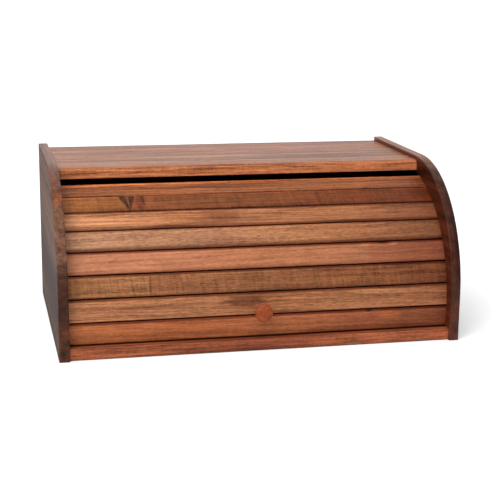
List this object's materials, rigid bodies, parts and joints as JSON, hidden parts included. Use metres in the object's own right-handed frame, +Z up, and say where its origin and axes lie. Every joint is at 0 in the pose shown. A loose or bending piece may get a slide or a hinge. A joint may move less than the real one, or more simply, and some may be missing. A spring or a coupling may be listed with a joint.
{
  "type": "bread bin",
  "caption": "Wooden roll-top bread bin: a slatted curtain runs in curved tracks between two rounded side panels and rolls up and back under a fixed lid.",
  "frame": {"origin": "on the surface it stands on, under the middle of the whole bin's box, knob included", "axes": "+X to the right seen from the front, along the width; +Y to the back; +Z up"},
  "size_m": [0.4, 0.266, 0.1705],
  "materials": {
    "side_wood": "satin oiled, darker boards",
    "lid_wood": "satin oiled",
    "board_wood": "satin oiled",
    "slat_wood": "satin oiled, colour differs from slat to slat",
    "knob_wood": "satin oiled, turned",
    "dowel_wood": "plain, fluted hardwood dowel",
    "canvas": "plain woven cotton, undyed",
    "screw_steel": "zinc plated"
  },
  "bodies": {
    "carcass": {"left_side_panel": "side_wood", "right_side_panel": "side_wood", "top_panel": "lid_wood", "back_panel": "board_wood", "base_panel": "board_wood", "top_dowels": "dowel_wood", "back_dowels": "dowel_wood", "base_dowels": "dowel_wood"},
    "tambour": {"slat_1": "slat_wood", "slat_2": "slat_wood", "slat_3": "slat_wood", "slat_4": "slat_wood", "slat_5": "slat_wood", "slat_6": "slat_wood", "slat_7": "slat_wood", "slat_8": "slat_wood", "tambour_backing": "canvas", "knob": "knob_wood", "knob_screw": "screw_steel"}
  },
  "joints": [
    {"name": "tambour_roll", "type": "hinge", "parent": "carcass", "child": "tambour", "pos_m": [0, 0.006, 0.0308], "axis": [-1, 0, 0], "range_deg": [0, 73.8]}
  ]
}
